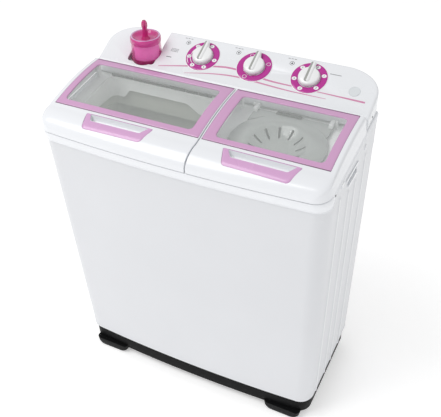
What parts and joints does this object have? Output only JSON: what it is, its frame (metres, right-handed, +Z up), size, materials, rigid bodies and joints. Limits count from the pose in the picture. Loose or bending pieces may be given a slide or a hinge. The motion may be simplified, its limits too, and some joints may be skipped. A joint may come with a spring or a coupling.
{
  "type": "twin tub washer",
  "caption": "Top-loading twin tub washing machine: agitator wash tub and spin basket under hinged see-through lids, rear panel with dials and a water inlet cup.",
  "frame": {"origin": "on the floor, under the middle of the machine's outer box", "axes": "+Z up, +X to the right as seen from the front, front faces -Y"},
  "size_m": [0.7792, 0.4394, 1.006],
  "materials": {
    "base_black": "fine moulded texture",
    "rubber": "matt",
    "cabinet_white": "satin enamel",
    "back_sheet": "satin",
    "steel": "satin",
    "top_white": "gloss",
    "panel_white": "gloss",
    "ring_magenta": "gloss",
    "knob_white": "gloss",
    "window_clear": "clear",
    "border_pink": "gloss, slightly see-through",
    "grip_pink": "gloss",
    "cup_magenta": "clear tinted plastic",
    "cartridge_pink": "fine mesh",
    "tub_grey": "satin",
    "cover_grey": "translucent satin",
    "pulsator_blue": "satin",
    "basket_grey": "satin",
    "motor_metal": "cast",
    "switch_plastic": "satin"
  },
  "bodies": {
    "cabinet": {"base_pan": "base_black", "foot_blocks": "base_black", "foot_pads": "rubber", "cabinet_shell": "cabinet_white", "back_cover": "back_sheet", "back_cover_screws": "steel", "side_grips": "panel_white", "top_frame": "top_white", "rim_plugs": "panel_white", "control_panel": "panel_white", "wash_dial_ring": "ring_magenta", "selector_dial_ring": "ring_magenta", "spin_dial_ring": "ring_magenta", "panel_badge": "panel_white", "wash_timer": "switch_plastic", "selector_switch": "switch_plastic", "spin_timer": "switch_plastic", "wash_tub": "tub_grey", "lint_filter": "tub_grey", "bearing_housing": "motor_metal", "wash_motor": "motor_metal", "drive_belt": "rubber", "spin_tank": "tub_grey", "spin_seal": "rubber", "spin_motor": "motor_metal", "spin_motor_mounts": "rubber", "brake_pivot": "steel", "drain_valve": "switch_plastic", "drain_spigot": "switch_plastic", "capacitor": "switch_plastic", "cord_gland": "rubber"},
    "wash_lid": {"wash_lid": "top_white", "wash_window": "window_clear", "wash_window_frame": "border_pink", "wash_grip": "grip_pink", "wash_hinge_pins": "steel"},
    "spin_lid": {"spin_lid": "top_white", "spin_window": "window_clear", "spin_window_frame": "border_pink", "spin_grip": "grip_pink", "spin_hinge_pins": "steel"},
    "spin_cover": {"spin_cover": "cover_grey", "spin_cover_pins": "steel"},
    "wash_knob": {"wash_knob": "knob_white"},
    "selector_knob": {"selector_knob": "knob_white"},
    "spin_knob": {"spin_knob": "knob_white"},
    "pulsator": {"pulsator": "pulsator_blue", "pulsator_cap": "pulsator_blue", "pulsator_shaft": "steel", "drive_pulley": "motor_metal"},
    "motor_pulley": {"motor_pulley": "motor_metal"},
    "spin_basket": {"spin_basket": "basket_grey", "spin_shaft": "steel", "brake_drum": "motor_metal"},
    "brake_lever": {"brake_lever": "steel", "brake_pad": "rubber"},
    "drain_plug": {"drain_plug": "rubber"},
    "filter_cup": {"filter_cup": "cup_magenta", "filter_lid": "cup_magenta", "filter_cartridge": "cartridge_pink"}
  },
  "joints": [
    {"name": "wash_lid_hinge", "type": "hinge", "parent": "cabinet", "child": "wash_lid", "pos_m": [-0.169, 0.064, 0.892], "axis": [-1, 0, 0], "range_deg": [0, 90]},
    {"name": "spin_lid_hinge", "type": "hinge", "parent": "cabinet", "child": "spin_lid", "pos_m": [0.21, 0.064, 0.892], "axis": [-1, 0, 0], "range_deg": [0, 90]},
    {"name": "spin_cover_hinge", "type": "hinge", "parent": "cabinet", "child": "spin_cover", "pos_m": [0.203, 0.072, 0.867], "axis": [-1, 0, 0], "range_deg": [0, 70.5]},
    {"name": "wash_timer_turn", "type": "hinge", "parent": "cabinet", "child": "wash_knob", "pos_m": [-0.0912, 0.1495, 0.92569], "axis": [0, 0.4299, -0.9029], "range_deg": [0, 300]},
    {"name": "selector_turn", "type": "hinge", "parent": "cabinet", "child": "selector_knob", "pos_m": [0.0576, 0.1495, 0.92569], "axis": [0, 0.4299, -0.9029], "range_deg": [0, 180]},
    {"name": "spin_timer_turn", "type": "hinge", "parent": "cabinet", "child": "spin_knob", "pos_m": [0.207, 0.1495, 0.92569], "axis": [0, 0.4299, -0.9029], "range_deg": [0, 270]},
    {"name": "pulsator_spin", "type": "hinge", "parent": "cabinet", "child": "pulsator", "pos_m": [-0.159, -0.02, 0.38], "axis": [0, 0, 1], "continuous": true},
    {"name": "motor_pulley_spin", "type": "hinge", "parent": "cabinet", "child": "motor_pulley", "pos_m": [-0.285, -0.02, 0.3], "axis": [0, 0, 1], "continuous": true},
    {"name": "basket_spin", "type": "hinge", "parent": "cabinet", "child": "spin_basket", "pos_m": [0.203, -0.048, 0.4], "axis": [0, 0, 1], "continuous": true},
    {"name": "brake_swing", "type": "hinge", "parent": "cabinet", "child": "brake_lever", "pos_m": [0.269, -0.002, 0.32], "axis": [0, 0, -1], "range_deg": [0, 3.3]},
    {"name": "drain_valve_turn", "type": "hinge", "parent": "cabinet", "child": "drain_plug", "pos_m": [-0.009, 0.07, 0.34], "axis": [0, 0, 1], "range_deg": [0, 90]},
    {"name": "filter_cup_lift", "type": "slide", "parent": "cabinet", "child": "filter_cup", "axis": [0, 0, 1], "range_m": [0, 0.12]}
  ],
  "couplings": [
    {"joint": "spin_cover_hinge", "follows": "spin_lid_hinge", "ratio": 0.77778},
    {"joint": "brake_swing", "follows": "spin_lid_hinge", "ratio": 0.0355},
    {"joint": "motor_pulley_spin", "follows": "pulsator_spin", "ratio": 3.5909},
    {"joint": "drain_valve_turn", "follows": "selector_turn", "ratio": 0.5}
  ]
}
